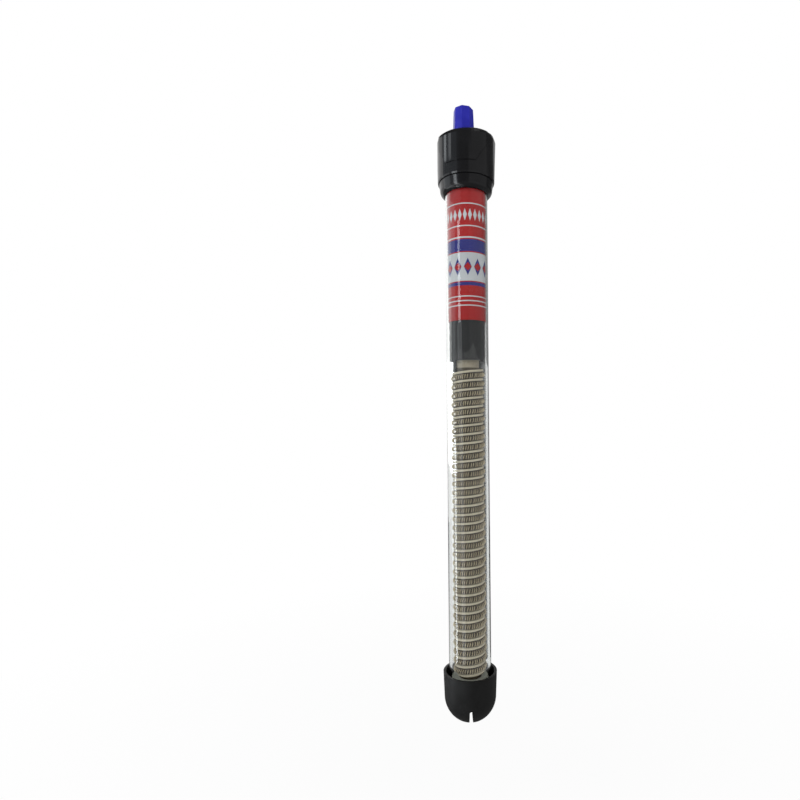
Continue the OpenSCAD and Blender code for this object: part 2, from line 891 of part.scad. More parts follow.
module spindle_bush() {
    color([0.85, 0.85, 0.82])
        translate([0, -spindle_y, 0]) {
            difference() {
                union() {
                    translate([0, 0, bush_base_z])
                        cylinder(r = bush_r, h = plug_top_z - bush_base_z);
                    translate([0, 0, plug_top_z - bush_flange_t])
                        cylinder(r = bush_r + 1, h = bush_flange_t);
                }
                translate([0, 0, bush_base_z - past])
                    cylinder(r = bush_ri, h = plug_top_z - bush_base_z + 2 * past);
            }
        }
}

// Heights of the two O-rings, near the top of the bush
o_ring_depth = 3.5;
o_ring_pitch = 4;
o_ring_zs = [plug_top_z - o_ring_depth, plug_top_z - o_ring_depth - o_ring_pitch];
o_ring_middle_r = spindle_r - o_ring_t / 2 + 0.02;

module knob_spindle() {
    land_base_z = clip_z - 0.8;
    groove_r = spindle_r - o_ring_t + 0.02;
    color([0.9, 0.9, 0.88])
        translate([0, -spindle_y, 0])
            difference() {
                union() {
                    translate([0, 0, thread_end_z])
                        cylinder(d = thread_d, h = land_base_z - thread_end_z + slip);
                    translate([0, 0, land_base_z])
                        cylinder(r = spindle_r, h = plug_top_z - land_base_z);
                    translate([0, 0, plug_top_z - slip])
                        cylinder(r = spindle_top_r, h = spindle_top_z - plug_top_z + slip);
                }
                for (z = o_ring_zs)
                    ring(spindle_r + past, groove_r, z - o_ring_t / 2 - slip, z + o_ring_t / 2 + slip);
                ring(spindle_r + past, spindle_r - 0.7, clip_z - slip, clip_z + clip_t + slip);
                plate(
                    [-spindle_r, spindle_top_r - knob_flat, knob_z + 1],
                    [spindle_r, spindle_r, spindle_top_z + past]
                );
            }
}

module spindle_o_rings() {
    color([0.1, 0.1, 0.1])
        translate([0, -spindle_y, 0])
            for (z = o_ring_zs)
                o_ring(o_ring_middle_r, o_ring_t, z);
}

// An open retaining clip in the spindle's groove, under the bush
module spindle_clip() {
    color([0.6, 0.6, 0.62])
        translate([0, -spindle_y, 0])
            difference() {
                ring(bush_r - 0.1, spindle_r - 0.65, clip_z, clip_z + clip_t);
                plate([-1, 0, clip_z - past], [1, bush_r, clip_z + clip_t + past]);
            }
}

module tube_seal_ring() {
    color([0.1, 0.1, 0.1])
        o_ring(
            tube_r + seal_t / 2 + 0.02, seal_t,
            head_base_z + spigot_h + seal_t / 2 + 0.03
        );
}

// ---------- head ----------

// The ring that presses the seal: rounded in to the tube below, with a spigot in the head
module head_collar() {
    base_z = head_base_z - collar_h;
    edge_r = 3.2;
    bore = tube_r + close;
    collar_r = head_r - collar_inset;
    color([0.1, 0.1, 0.11])
        rotate_extrude()
            difference() {
                union() {
                    translate([collar_r - 0.5 - edge_r, base_z + edge_r]) circle(r = edge_r);
                    polygon([
                        [tube_r, base_z + edge_r],
                        [collar_r - 0.5, base_z + edge_r],
                        [collar_r, head_base_z - seam_h],
                        [collar_r - seam_in, head_base_z - seam_h],
                        [collar_r - seam_in, head_base_z],
                        [seal_bore_r - 0.1, head_base_z],
                        [seal_bore_r - 0.1, head_base_z + spigot_h],
                        [tube_r, head_base_z + spigot_h]
                    ]);
                }
                translate([0, base_z - past]) square([bore, collar_h + spigot_h + 2 * past]);
            }
}

// The head's outline from above: round in front, squared with cut corners behind
module head_outline(grow) {
    r = head_r + grow;
    back = head_r + panel_t + grow;
    corner_x = head_r - 3.3 + grow;
    circle(r = r);
    polygon([[r, 0], [r, 5], [corner_x, back], [-corner_x, back], [-r, 5], [-r, 0]]);
}

// A thin slice of the head, level or tipped like the head's top
module head_slice(z, slope) {
    multmatrix([[1, 0, 0, 0], [0, 1, 0, 0], [0, slope, 1, z], [0, 0, 0, 1]])
        linear_extrude(0.01) children();
}

module head_body(grow) {
    hull() {
        head_slice(head_base_z, 0) circle(r = head_r - 0.35 + grow);
        head_slice(head_base_z + 0.8, 0) circle(r = head_r - 0.1 + grow);
        head_slice(head_base_z + head_foot_h, 0) circle(r = head_r + grow);
        head_slice(head_top_z - 2.4, top_slope) head_outline(grow);
        head_slice(head_top_z - 0.9, top_slope) head_outline(grow - 0.4);
        head_slice(head_top_z - 0.01, top_slope) head_outline(grow - 1.6);
    }
}

// The front panel's shield shape, cut through the front half
module panel_shape() {
    top = head_top_z;
    rotate([90, 0, 0])
        linear_extrude(2 * head_w)
            polygon([
                [panel_w / 2, top + 5],
                [-panel_w / 2, top + 5],
                [-panel_w / 2 + 0.4, top - panel_side_h],
                [-panel_foot_w / 2, top - panel_h],
                [panel_foot_w / 2, top - panel_h],
                [panel_w / 2 - 0.4, top - panel_side_h]
            ]);
}

module head_shell() {
    color([0.07, 0.07, 0.08])
        difference() {
            union() {
                head_body(0);
                intersection() {
                    head_body(panel_t);
                    panel_shape();
                }
            }
            // the seal's bore and the tube's bore
            translate([0, 0, head_base_z - past])
                cylinder(r = seal_bore_r, h = spigot_h + seal_t + 0.1 + past);
            translate([0, 0, head_base_z])
                cylinder(r = tube_r + 0.2, h = ceiling_z - head_base_z);
            // the wiring space behind the spindle
            intersection() {
                translate([0, 0, ceiling_z - past]) cylinder(r = cavity_r, h = cavity_h + past);
                plate(
                    [-cavity_r, cavity_front_y, ceiling_z - past],
                    [cavity_r, cavity_r, ceiling_z + cavity_h]
                );
            }
            // the spindle's bore, the knob's well and the gland's seat
            translate([0, -spindle_y, ceiling_z - past])
                cylinder(r = spindle_top_r + 0.2, h = head_h);
            translate([0, -spindle_y, knob_well_z])
                cylinder(r = knob_well_r, h = head_h);
            translate([0, gland_y, ceiling_z])
                cylinder(r = gland_r + slip, h = head_h);
            translate([0, gland_y, gland_seat_z])
                cylinder(r = gland_flange_r + 0.2, h = head_h);
        }
}

module cord_gland() {
    color([0.12, 0.12, 0.12])
        translate([0, gland_y, 0])
            difference() {
                union() {
                    translate([0, 0, gland_base_z])
                        cylinder(r = gland_r, h = gland_seat_z - gland_base_z + slip);
                    translate([0, 0, gland_seat_z])
                        cylinder(r = gland_flange_r, h = gland_flange_t);
                }
                translate([0, 0, gland_base_z - past])
                    cylinder(r = gland_ri, h = head_h);
            }
}

// ---------- knob ----------

module knob_slice(z, d) {
    translate([0, 0, z])
        linear_extrude(0.01)
            offset(r = knob_corner_r, $fn = 24)
                circle(r = d / 2 - knob_corner_r, $fn = 8);
}

module knob() {
    color([0.16, 0.16, 0.62])
        translate([0, -spindle_y, knob_z])
            difference() {
                rotate([0, 0, knob_turn])
                    hull() {
                        knob_slice(0, knob_foot_d);
                        knob_slice(knob_h - knob_band_h, knob_top_d);
                        knob_slice(knob_h - knob_edge, knob_top_d - 0.3);
                        knob_slice(knob_h - 0.01, knob_top_d - 0.3 - 2 * knob_edge);
                    }
                difference() {
                    translate([0, 0, -past])
                        cylinder(r = spindle_top_r + slip, h = spindle_top_z - knob_z + past + slip);
                    plate(
                        [-spindle_r, spindle_top_r - knob_flat + slip, 1 + slip],
                        [spindle_r, spindle_r, knob_h]
                    );
                }
            }
}

foot_cap();
glass_tube();
base_cushion();
ceramic_core();
heating_coil();
core_washer();
thermostat_sleeve();
label_film();
thermostat_frame();
stack_insulators();
stack_rivets();
live_terminal();
coil_terminal();
bimetal_blade();
moving_contact();
snap_armature();
setting_blade();
fixed_contact();
snap_magnet();
setting_nut();
live_lead();
neutral_lead();
return_lead();
coil_lead();
wire_ferrules();
rubber_plug();
spindle_bush();
knob_spindle();
spindle_o_rings();
spindle_clip();
tube_seal_ring();
head_collar();
head_shell();
cord_gland();
knob();
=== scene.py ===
import math
import random
from contextlib import contextmanager

import bmesh
import bpy
from mathutils import Matrix, Vector


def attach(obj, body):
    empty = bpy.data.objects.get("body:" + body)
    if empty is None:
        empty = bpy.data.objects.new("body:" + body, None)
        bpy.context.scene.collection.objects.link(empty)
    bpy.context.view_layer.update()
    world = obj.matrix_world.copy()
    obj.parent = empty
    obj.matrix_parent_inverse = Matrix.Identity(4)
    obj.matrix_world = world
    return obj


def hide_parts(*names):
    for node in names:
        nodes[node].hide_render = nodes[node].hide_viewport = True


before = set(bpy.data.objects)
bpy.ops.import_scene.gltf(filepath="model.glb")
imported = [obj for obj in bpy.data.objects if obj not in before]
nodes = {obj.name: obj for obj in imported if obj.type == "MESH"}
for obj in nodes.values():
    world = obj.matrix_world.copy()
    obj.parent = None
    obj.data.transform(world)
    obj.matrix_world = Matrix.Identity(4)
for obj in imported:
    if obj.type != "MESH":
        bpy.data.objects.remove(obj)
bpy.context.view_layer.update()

# The pieces' sizes are in millimetres. Lamps, the floor and what materials measure are in metres.
MM = 0.001

# ---------------------------------------------------------------- camera

# Side of the square picture, focal length and shift, in pixels
FRAME_PX = 800.0
FOCAL_PX = 526.0
SHIFT_X_PX, SHIFT_Y_PX = -68.2, 33.0
SENSOR = 36.0
AZ = math.radians(12.0)  # how far the camera stands round from the front, -Y, towards +X
EYE = 156.6  # height of the camera
DIST = 288.0  # distance of the camera from the heater's axis
ROLL = math.radians(-0.49)

cam_data = bpy.data.cameras.new("camera")
cam_data.sensor_width = SENSOR
cam_data.lens = FOCAL_PX / FRAME_PX * SENSOR
cam_data.shift_x = SHIFT_X_PX / FRAME_PX
cam_data.shift_y = SHIFT_Y_PX / FRAME_PX
cam_data.clip_start = 0.01
cam_data.clip_end = 20.0
cam = bpy.data.objects.new("camera", cam_data)
bpy.context.scene.collection.objects.link(cam)
cam.location = (DIST * MM * math.sin(AZ), -DIST * MM * math.cos(AZ), EYE * MM)
level = Matrix.Rotation(AZ, 3, "Z") @ Matrix.Rotation(math.radians(90), 3, "X")
cam.rotation_euler = (level @ Matrix.Rotation(ROLL, 3, "Z")).to_euler()
bpy.context.scene.camera = cam

# ---------------------------------------------------------------- mesh helpers

SHARP = math.radians(35)  # edges that bend more than this stay sharp
SAME_POINT = 1e-7  # points that are closer than this, in metres, are one


@contextmanager
def editing(me):
    """A mesh as a bmesh, which is written back at the end."""
    bm = bmesh.new()
    bm.from_mesh(me)
    yield bm
    bm.to_mesh(me)
    bm.free()


def link_object(name, me):
    o = bpy.data.objects.new(name, me)
    bpy.context.scene.collection.objects.link(o)
    return o


def add_mesh(name, verts, faces):
    """A smooth mesh object from points in millimetres, with its faces turned outwards."""
    me = bpy.data.meshes.new(name)
    me.from_pydata([Vector(v) * MM for v in verts], [], faces)
    me.update()
    with editing(me) as bm:
        bmesh.ops.recalc_face_normals(bm, faces=bm.faces)
    for p in me.polygons:
        p.use_smooth = True
    return link_object(name, me)


def mark_sharp_edges(o):
    with editing(o.data) as bm:
        for e in bm.edges:
            if len(e.link_faces) == 2:
                e.smooth = e.calc_face_angle(0.0) < SHARP


def lathe(name, profile, segments):
    """A closed profile of (r, z) points turned about Z."""
    verts = []
    n = len(profile)
    for i in range(segments):
        a = 2 * math.pi * i / segments
        for r, z in profile:
            verts.append((r * math.cos(a), r * math.sin(a), z))
    faces = []
    for i in range(segments):
        here, there = i * n, (i + 1) % segments * n
        for j in range(n):
            k = (j + 1) % n
            faces.append((here + j, here + k, there + k, there + j))
    o = add_mesh(name, verts, faces)
    with editing(o.data) as bm:
        bmesh.ops.remove_doubles(bm, verts=bm.verts, dist=SAME_POINT)  # points on the axis
        bmesh.ops.recalc_face_normals(bm, faces=bm.faces)
    mark_sharp_edges(o)
    return o


def arc(cx, cz, r, start, end, steps):
    """Points along an arc of a profile, from one angle to another in degrees."""
    points = []
    for i in range(steps + 1):
        a = math.radians(start + (end - start) * i / steps)
        points.append((cx + r * math.cos(a), cz + r * math.sin(a)))
    return points


def rolled(name, r0, r1, z0, z1, start, end, segments):
    """A sheet rolled round Z, open between its two long edges at angles start and end, in degrees."""
    verts, faces = [], []
    for i in range(segments + 1):
        a = math.radians(start + (end - start) * i / segments)
        for r, z in ((r0, z0), (r1, z0), (r1, z1), (r0, z1)):
            verts.append((r * math.cos(a), r * math.sin(a), z))
    for i in range(segments):
        for j in range(4):
            a, b = i * 4 + j, i * 4 + (j + 1) % 4
            faces.append((a, b, b + 4, a + 4))
    faces.append((0, 1, 2, 3))
    faces.append(tuple(segments * 4 + j for j in (3, 2, 1, 0)))
    o = add_mesh(name, verts, faces)
    mark_sharp_edges(o)
    return o


def sweep(name, points, radius, sides):
    """A round wire along a list of points, with capped ends."""
    verts, faces = [], []
    across = None
    count = len(points)
    for i in range(count):
        along = (points[min(count - 1, i + 1)] - points[max(0, i - 1)]).normalized()
        if across is None:
            across = Vector((0, 0, 1)) if abs(along.z) < 0.9 else Vector((1, 0, 0))
        across = (across - along * across.dot(along)).normalized()
        third = along.cross(across)
        for s in range(sides):
            a = 2 * math.pi * s / sides
            verts.append(points[i] + (across * math.cos(a) + third * math.sin(a)) * radius)
    for i in range(count - 1):
        for s in range(sides):
            p, q = i * sides + s, i * sides + (s + 1) % sides
            faces.append((p, q, q + sides, p + sides))
    faces.append(tuple(range(sides))[::-1])
    faces.append(tuple((count - 1) * sides + s for s in range(sides)))
    return add_mesh(name, verts, faces)


# ---------------------------------------------------------------- material helpers

MIX_A, MIX_B, MIX_RESULT = 6, 7, 2  # the colour sockets of a Mix node


class Tree:
    """A node tree, with a short call for each kind of node."""

    def __init__(self, tree):
        self.tree = tree
        tree.nodes.clear()

    def new(self, kind, **settings):
        n = self.tree.nodes.new(kind)
        for setting, value in settings.items():
            setattr(n, setting, value)
        return n

    def put(self, socket, value):
        """Links a socket to another one or sets it, and gives a colour its alpha."""
        if hasattr(value, "is_linked"):
            self.tree.links.new(value, socket)
        elif isinstance(value, tuple):
            socket.default_value = (*value, 1.0)[:len(socket.default_value)]
        else:
            socket.default_value = value

    def math(self, operation, a, b=0.0):
        n = self.new("ShaderNodeMath", operation=operation)
        self.put(n.inputs[0], a)
        self.put(n.inputs[1], b)
        return n.outputs[0]

    def white(self, kind, strength):
        """Even white light from an Emission or a Background node."""
        n = self.new(kind)
        self.put(n.inputs["Color"], (1.0, 1.0, 1.0))
        self.put(n.inputs["Strength"], strength)
        return n.outputs[0]

    def blend(self, factor, a, b):
        """Shader a where the factor is 0, and shader b where it is 1."""
        n = self.new("ShaderNodeMixShader")
        for socket, value in zip(n.inputs, (factor, a, b)):
            self.put(socket, value)
        return n.outputs[0]


class Surface(Tree):
    """The tree of a new material."""

    def __init__(self, name):
        self.material = bpy.data.materials.new(name)
        self.material.use_nodes = True
        super().__init__(self.material.node_tree)
        self.output = self.new("ShaderNodeOutputMaterial")
        self.place = self.new("ShaderNodeTexCoord").outputs["Object"]

    def axes(self):
        n = self.new("ShaderNodeSeparateXYZ")
        self.put(n.inputs[0], self.place)
        return n.outputs

    def radius(self, x, y):
        """Distance from the heater's axis, in metres."""
        squares = self.math("MULTIPLY", x, x), self.math("MULTIPLY", y, y)
        return self.math("SQRT", self.math("ADD", *squares))

    def noise(self, scale, detail=3.0, rough=0.5, vector=None):
        n = self.new("ShaderNodeTexNoise")
        self.put(n.inputs["Scale"], scale)
        self.put(n.inputs["Detail"], detail)
        self.put(n.inputs["Roughness"], rough)
        self.put(n.inputs["Vector"], vector or self.place)
        return n.outputs["Fac"]

    def ramp(self, factor, *stops):
        n = self.new("ShaderNodeValToRGB")
        elements = n.color_ramp.elements
        while len(elements) < len(stops):
            elements.new(0.5)
        for element, (position, color) in zip(elements, stops):
            element.position = position
            element.color = (*color, 1.0)
        self.put(n.inputs["Fac"], factor)
        return n.outputs["Color"]

    def remap(self, value, to_min, to_max, from_min=0.3, from_max=0.7):
        """A value carried over from one range to another. The usual first range is a noise's."""
        n = self.new("ShaderNodeMapRange")
        self.put(n.inputs["Value"], value)
        self.put(n.inputs["From Min"], from_min)
        self.put(n.inputs["From Max"], from_max)
        self.put(n.inputs["To Min"], to_min)
        self.put(n.inputs["To Max"], to_max)
        return n.outputs["Result"]

    def mix(self, factor, a, b):
        """Colour a where the factor is 0, and colour b where it is 1."""
        n = self.new("ShaderNodeMix", data_type="RGBA")
        self.put(n.inputs[0], factor)
        self.put(n.inputs[MIX_A], a)
        self.put(n.inputs[MIX_B], b)
        return n.outputs[MIX_RESULT]

    def bump(self, height, strength, distance):
        n = self.new("ShaderNodeBump")
        self.put(n.inputs["Strength"], strength)
        self.put(n.inputs["Distance"], distance)
        self.put(n.inputs["Height"], height)
        return n.outputs["Normal"]

    def principled(self, color, rough, metallic=0.0, ior=1.45, normal=None, transmission=0.0):
        n = self.new("ShaderNodeBsdfPrincipled")
        self.put(n.inputs["Base Color"], color)
        self.put(n.inputs["Roughness"], rough)
        self.put(n.inputs["Metallic"], metallic)
        self.put(n.inputs["IOR"], ior)
        self.put(n.inputs["Transmission Weight"], transmission)
        if normal is not None:
            self.put(n.inputs["Normal"], normal)
        return n.outputs[0]

    def done(self, shader):
        self.put(self.output.inputs["Surface"], shader)
        return self.material


def scaled(color, k):
    return tuple(min(1.0, v * k) for v in color)


def plain(name, color, rough=0.4, spread=0.1, grain=900.0, bump=0.15, depth=0.00004, ior=1.45, metallic=0.0):
    """Moulded or pressed material: slight mottling, uneven gloss and a fine surface grain."""
    s = Surface(name)
    cloud = s.noise(140.0, detail=4.0)
    fine = s.noise(grain, rough=0.6)
    mottled = s.ramp(cloud, (0.3, scaled(color, 1 - spread)), (0.7, scaled(color, 1 + spread)))
    gloss = s.remap(cloud, rough * 0.88, rough * 1.12)
    return s.done(s.principled(mottled, gloss, metallic, ior, s.bump(fine, bump, depth)))


def brushed(name, color, rough=0.32, stretch=(1.0, 1.0, 12.0)):
    """Metal with fine drawn lines."""
    s = Surface(name)
    mapping = s.new("ShaderNodeMapping")
    s.put(mapping.inputs["Scale"], stretch)
    s.put(mapping.inputs["Vector"], s.place)
    lines = s.noise(700.0, detail=4.0, rough=0.6, vector=mapping.outputs[0])
    drawn = s.ramp(lines, (0.3, scaled(color, 0.85)), (0.7, scaled(color, 1.1)))
    gloss = s.remap(lines, rough * 0.8, rough * 1.25)
    return s.done(s.principled(drawn, gloss, metallic=1.0, normal=s.bump(lines, 0.12, 0.00003)))


def dress(o, material):
    o.data.materials.clear()
    o.data.materials.append(material)


# ---------------------------------------------------------------- materials

black_gloss = plain("black_gloss", (0.009, 0.009, 0.01), rough=0.13, spread=0.15, grain=420.0,
                    bump=0.05, depth=0.00005, ior=1.42)
black_matte = plain("black_matte", (0.0075, 0.0075, 0.0075), rough=0.5, spread=0.2, grain=1500.0,
                    bump=0.35, depth=0.00005, ior=1.4)
rubber = plain("rubber", (0.018, 0.018, 0.019), rough=0.62, spread=0.2, grain=1300.0, bump=0.4, depth=0.00006)
nylon = plain("nylon", (0.72, 0.69, 0.58), rough=0.42, spread=0.05)
hard_paper = plain("hard_paper", (0.23, 0.11, 0.05), rough=0.5, spread=0.18, grain=700.0, bump=0.25)
magnet = plain("magnet", (0.06, 0.06, 0.065), spread=0.2, grain=600.0, bump=0.3, metallic=0.6)
washer = plain("washer", (0.62, 0.6, 0.52), rough=0.7, spread=0.06, grain=800.0, bump=0.4)
wire_brown = plain("wire_brown", (0.16, 0.05, 0.02), rough=0.35, spread=0.08)
wire_blue = plain("wire_blue", (0.02, 0.06, 0.34), rough=0.35, spread=0.08)
wire_black = plain("wire_black", (0.012, 0.012, 0.012), rough=0.45, spread=0.2)
zinc = brushed("zinc", (0.6, 0.61, 0.63))
brass = brushed("brass", (0.75, 0.55, 0.25), rough=0.28)
bronze = brushed("bronze", (0.72, 0.45, 0.22), rough=0.28)
bimetal = brushed("bimetal", (0.55, 0.5, 0.38), rough=0.35)
silver = brushed("silver", (0.85, 0.85, 0.86), rough=0.18, stretch=(1.0, 1.0, 1.0))
iron = brushed("iron", (0.3, 0.3, 0.31), rough=0.42)
copper = brushed("copper", (0.75, 0.36, 0.2), rough=0.35)
steel = brushed("steel", (0.5, 0.5, 0.52))


def knob_material():
    s = Surface("knob_blue")
    cloud = s.noise(160.0)
    grain = s.noise(1200.0, detail=2.0)
    blue = s.ramp(cloud, (0.3, (0.016, 0.017, 0.34)), (0.7, (0.022, 0.024, 0.42)))
    gloss = s.remap(cloud, 0.3, 0.4)
    return s.done(s.principled(blue, gloss, ior=1.42, normal=s.bump(grain, 0.1, 0.00003)))


# Painted shade: inside these radii the ceramic darkens. Below the neck it turns a dark brown that stands for
# the shade under the coil and between the ridge's turns.
GROOVE_R, CREST_R = 0.0066, 0.0082  # between these radii the ceramic turns pale
NECK_LOW, NECK_HIGH = 0.1912, 0.1918  # between these heights the groove's colour turns into the neck's


def ceramic_material():
    """Unglazed ceramic: pale crests, a groove painted dark brown as shade, and a mid-brown plain neck."""
    s = Surface("core_ceramic")
    blotch = s.noise(120.0, detail=5.0, rough=0.6)
    grit = s.noise(1100.0, detail=4.0, rough=0.65)
    x, y, z = s.axes()
    crest = s.ramp(blotch, (0.3, (0.50, 0.435, 0.315)), (0.5, (0.58, 0.51, 0.38)),
                   (0.72, (0.65, 0.575, 0.435)))
    # painted shade: the groove's dark brown stands for shade, not for the ceramic's own colour
    groove = s.ramp(blotch, (0.3, (0.05, 0.037, 0.022)), (0.7, (0.085, 0.064, 0.04)))
    neck = s.ramp(blotch, (0.3, (0.33, 0.275, 0.20)), (0.7, (0.41, 0.355, 0.265)))
    inner = s.mix(s.remap(z, 0.0, 1.0, NECK_LOW, NECK_HIGH), groove, neck)
    clay = s.mix(s.remap(s.radius(x, y), 1.0, 0.0, GROOVE_R, CREST_R), crest, inner)
    speckled = s.mix(s.remap(grit, 0.0, 0.25, 0.5, 0.75), clay, (0.15, 0.12, 0.08))
    return s.done(s.principled(speckled, s.remap(blotch, 0.7, 0.86), normal=s.bump(grit, 0.5, 0.00012)))


# Painted shade: inside these radii the wire's colour darkens, for the shade where the loops lie in the
# groove.
SHADED_R, LIT_R = 0.0080, 0.0089  # between these radii the wire turns bright


def coil_material():
    """Resistance wire, bright outside and painted dark as shade where it lies in the groove."""
    s = Surface("coil_wire")
    patch = s.noise(220.0, detail=4.0, rough=0.6)
    x, y, _ = s.axes()
    bright = s.ramp(patch, (0.3, (0.50, 0.40, 0.245)), (0.7, (0.72, 0.595, 0.385)))
    wire = s.mix(s.remap(s.radius(x, y), 0.0, 1.0, SHADED_R, LIT_R), (0.12, 0.085, 0.045), bright)
    return s.done(s.principled(wire, s.remap(patch, 0.42, 0.6), metallic=0.2))


def pad_material():
    s = Surface("pad_silicone")
    patch = s.noise(260.0, detail=5.0, rough=0.65)
    fibre = s.noise(1600.0, detail=4.0, rough=0.7)
    grey = s.ramp(patch, (0.3, (0.40, 0.40, 0.345)), (0.7, (0.56, 0.555, 0.485)))
    return s.done(s.principled(grey, 0.85, normal=s.bump(fibre, 0.7, 0.0003)))


def sleeve_material():
    s = Surface("sleeve_film")
    patch = s.noise(90.0)
    grain = s.noise(1500.0, rough=0.6)
    black = s.ramp(patch, (0.3, (0.012, 0.012, 0.013)), (0.7, (0.018, 0.018, 0.020)))
    gloss = s.remap(patch, 0.42, 0.52)
    return s.done(s.principled(black, gloss, ior=1.4, normal=s.bump(grain, 0.15, 0.00003)))


def glass_material():
    """Clear glass, through which lamps and soft light pass straight."""
    s = Surface("clear_glass")
    glass = s.principled((1.0, 1.0, 1.0), 0.0, ior=1.47, transmission=1.0)
    clear = s.new("ShaderNodeBsdfTransparent")
    s.put(clear.inputs["Color"], (0.94, 0.95, 0.95))
    ray = s.new("ShaderNodeLightPath").outputs
    light = s.math("MAXIMUM", ray["Is Shadow Ray"], ray["Is Diffuse Ray"])
    tint = s.new("ShaderNodeVolumeAbsorption")
    s.put(tint.inputs["Color"], (0.70, 0.74, 0.72))
    s.put(tint.inputs["Density"], 190.0)
    s.put(s.output.inputs["Volume"], tint.outputs[0])
    return s.done(s.blend(light, glass, clear.outputs[0]))


# The label's bands, rings and rows of lozenges, by height in millimetres
SILVER_BAND = (237.0, 252.0)
BLUE_BANDS = ((252.6, 259.0), (234.6, 236.4))
SILVER_RINGS = ((277.6, 278.2), (265.8, 266.4), (259.6, 260.4), (228.6, 229.2), (226.2, 226.8),
                (223.8, 224.4))
LARGE_ROW = dict(count=12, middle=244.5)
SMALL_ROW = dict(count=24, middle=272.0)
LOZENGE_SLIM = 2.6  # a lozenge is 2 / 2.6 of its place in the row wide
LOZENGE_OFFSET = 20.0  # whole places, so that none has a number below zero


def label_material():
    """Red, blue and silver bands with plain rows of lozenges and rings."""
    s = Surface("label_print")
    x, y, z = s.axes()
    z = s.math("MULTIPLY", z, 1 / MM)
    turn = s.math("DIVIDE", s.math("ARCTAN2", y, x), 2 * math.pi)

    def band(low, high):
        return s.math("MULTIPLY", s.math("GREATER_THAN", z, low), s.math("LESS_THAN", z, high))

    def lozenges(count, middle, half_height):
        place = s.math("FRACT", s.math("ADD", s.math("MULTIPLY", turn, float(count)), LOZENGE_OFFSET))
        aside = s.math("MULTIPLY", s.math("ABSOLUTE", s.math("SUBTRACT", place, 0.5)), LOZENGE_SLIM)
        above = s.math("DIVIDE", s.math("ABSOLUTE", s.math("SUBTRACT", z, middle)), half_height)
        return s.math("LESS_THAN", s.math("ADD", aside, above), 1.0)

    red = s.mix(s.remap(s.noise(60.0, detail=2.0), 0.0, 1.0), (0.38, 0.009, 0.010), (0.49, 0.013, 0.014))
    metal = s.mix(s.remap(s.noise(45.0), 0.0, 1.0), (0.55, 0.56, 0.59), (0.68, 0.69, 0.72))
    blue = (0.028, 0.03, 0.22)
    col = s.mix(band(*SILVER_BAND), red, metal)
    for reach in BLUE_BANDS:
        col = s.mix(band(*reach), col, blue)
    col = s.mix(lozenges(**LARGE_ROW, half_height=4.6), col, blue)
    col = s.mix(lozenges(**LARGE_ROW, half_height=2.2), col, red)
    col = s.mix(lozenges(**SMALL_ROW, half_height=3.2), col, metal)
    for reach in SILVER_RINGS:
        col = s.mix(band(*reach), col, metal)
    fibre = s.noise(1500.0, detail=2.0)
    return s.done(s.principled(col, 0.36, ior=1.28, normal=s.bump(fibre, 0.08, 0.00002)))


core_ceramic = ceramic_material()
coil_wire = coil_material()
clear_glass = glass_material()
label_print = label_material()

finish_of = {
    "foot_cap": black_matte, "base_cushion": pad_material(), "core_washer": washer,
    "thermostat_sleeve": sleeve_material(), "thermostat_frame": zinc, "stack_insulators": hard_paper,
    "stack_rivets": brass, "live_terminal": brass, "coil_terminal": brass, "bimetal_blade": bimetal,
    "moving_contact": silver, "snap_armature": iron, "setting_blade": bronze, "fixed_contact": silver,
    "snap_magnet": magnet, "setting_nut": nylon, "live_lead": wire_brown, "neutral_lead": wire_blue,
    "return_lead": copper, "coil_lead": wire_black, "wire_ferrules": silver, "rubber_plug": rubber,
    "spindle_bush": nylon, "knob_spindle": nylon, "spindle_o_rings": rubber, "spindle_clip": steel,
    "tube_seal_ring": rubber, "head_collar": black_gloss, "head_shell": black_gloss,
    "cord_gland": rubber, "knob": knob_material(), "ceramic_core": core_ceramic,
    "heating_coil": coil_wire, "label_film": label_print, "glass_tube": clear_glass,
}
for name, material in finish_of.items():
    dress(nodes[name], material)

# ---------------------------------------------------------------- glass tube

TUBE_R, TUBE_RI = 11.5, 10.2
TUBE_LOW, TUBE_TOP = 7.0, 303.0
TUBE_EDGE = 8.0  # outer radius of the rounded edge at the closed end
MOUTH_R = 0.65  # the tube's mouth is rounded over, so this is half the wall

wall = TUBE_R - TUBE_RI
outside = arc(TUBE_R - TUBE_EDGE, TUBE_LOW + TUBE_EDGE, TUBE_EDGE, -90, 0, 20)
inside = arc(TUBE_R - TUBE_EDGE, TUBE_LOW + TUBE_EDGE, TUBE_EDGE - wall, 0, -90, 20)
mouth = arc((TUBE_R + TUBE_RI) / 2, TUBE_TOP - MOUTH_R, MOUTH_R, 0, 180, 10)
profile = [(0.0, TUBE_LOW)] + outside + mouth + inside + [(0.0, TUBE_LOW + wall)]
glass = lathe("glass_tube_clear", profile, segments=192)
dress(glass, clear_glass)
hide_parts("glass_tube")
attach(glass, "heater")

# ---------------------------------------------------------------- printed label

LABEL_RI, LABEL_R = 9.95, 10.1
LABEL_LOW, LABEL_TOP = 216.4, 286.7
LABEL_BACK = 90.0  # the label's open seam is behind
LABEL_OPEN = 6.0  # half of the seam's width, in degrees

label = rolled("label_roll", LABEL_RI, LABEL_R, LABEL_LOW, LABEL_TOP,
               LABEL_BACK + LABEL_OPEN, LABEL_BACK + 360.0 - LABEL_OPEN, segments=180)
dress(label, label_print)
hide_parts("label_film")
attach(label, "heater")

# ---------------------------------------------------------------- collar under the head

COLLAR_R, COLLAR_BORE = 14.75, 11.6
COLLAR_LOW = 285.45
COLLAR_EDGE = 3.2  # radius of the rounded lower edge
COLLAR_TAPER = 0.5  # how much narrower the collar is above that edge than at its top
COLLAR_DISH = 0.1  # how much higher than COLLAR_LOW the lower face is at the bore
HEAD_LOW = 292.25  # where the head begins
SEAM = 0.12  # height of the gap under the head
SPIGOT_R, SPIGOT_TOP = 13.14, 295.7
# The collar's upper edge: how far out from its side, and how far down from the head
COLLAR_LIP = ((0.0, 0.55), (0.02, 0.35), (-0.06, 0.2), (-0.25, SEAM))

